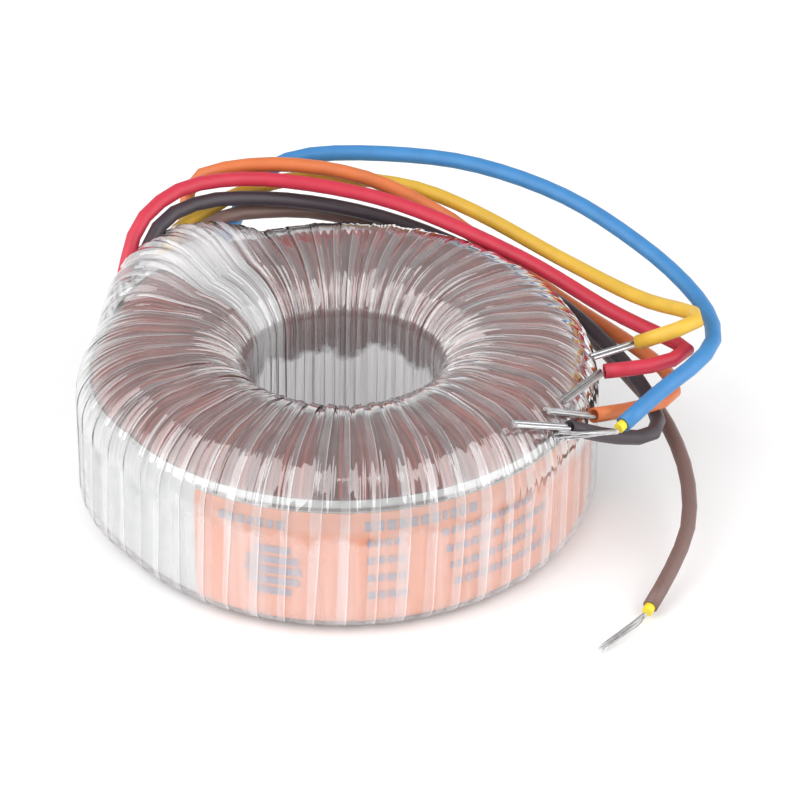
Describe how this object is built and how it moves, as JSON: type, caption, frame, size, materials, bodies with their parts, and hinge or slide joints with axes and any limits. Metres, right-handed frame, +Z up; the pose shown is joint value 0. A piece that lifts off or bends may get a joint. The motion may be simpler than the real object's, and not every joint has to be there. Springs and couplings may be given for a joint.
{
  "type": "toroidal transformer",
  "caption": "Ring-shaped mains transformer wrapped in clear film, with an orange label, an open bore for its fixing bolt and free coloured leads.",
  "frame": {"origin": "centre of the foot, on the axis of the ring, on the surface that it rests on", "axes": "+Z up along the axis of the bore, -Y towards the middle of the labelled side, +X to the right of it"},
  "size_m": [0.1008, 0.0945, 0.0381],
  "materials": {
    "core_steel": "wound strip edges, satin",
    "insulation": "thin polyester tape, matt",
    "primary_wire": "enamelled copper wire, glossy",
    "secondary_wire": "enamelled copper wire, glossy",
    "white_band": "white polyester tape, satin",
    "label": "printed orange paper under film, satin",
    "clear_film": "clear polyester film, glossy",
    "sleeve_red": "smooth sleeving, satin",
    "sleeve_black": "smooth sleeving, satin",
    "sleeve_yellow": "smooth sleeving, satin",
    "sleeve_orange": "smooth sleeving, satin",
    "sleeve_blue": "cable insulation, satin",
    "sleeve_brown": "cable insulation, satin",
    "tinned_wire": "tinned copper, bright",
    "inner_insulation": "inner cable insulation, satin"
  },
  "bodies": {
    "root": {"core": "core_steel", "core_insulation": "insulation", "primary_winding": "primary_wire", "interwinding_insulation": "insulation", "secondary_winding": "secondary_wire", "outer_band": "white_band", "label": "label", "lead_patch": "white_band", "outer_wrap": "clear_film", "lead_red": "sleeve_red", "lead_black": "sleeve_black", "lead_yellow": "sleeve_yellow", "lead_orange": "sleeve_orange", "lead_blue": "sleeve_blue", "lead_brown": "sleeve_brown", "conductor_red": "tinned_wire", "conductor_black": "tinned_wire", "conductor_yellow": "tinned_wire", "conductor_orange": "tinned_wire", "conductor_blue": "tinned_wire", "conductor_brown": "tinned_wire", "inner_insulation_blue": "inner_insulation", "inner_insulation_brown": "inner_insulation"}
  },
  "joints": []
}
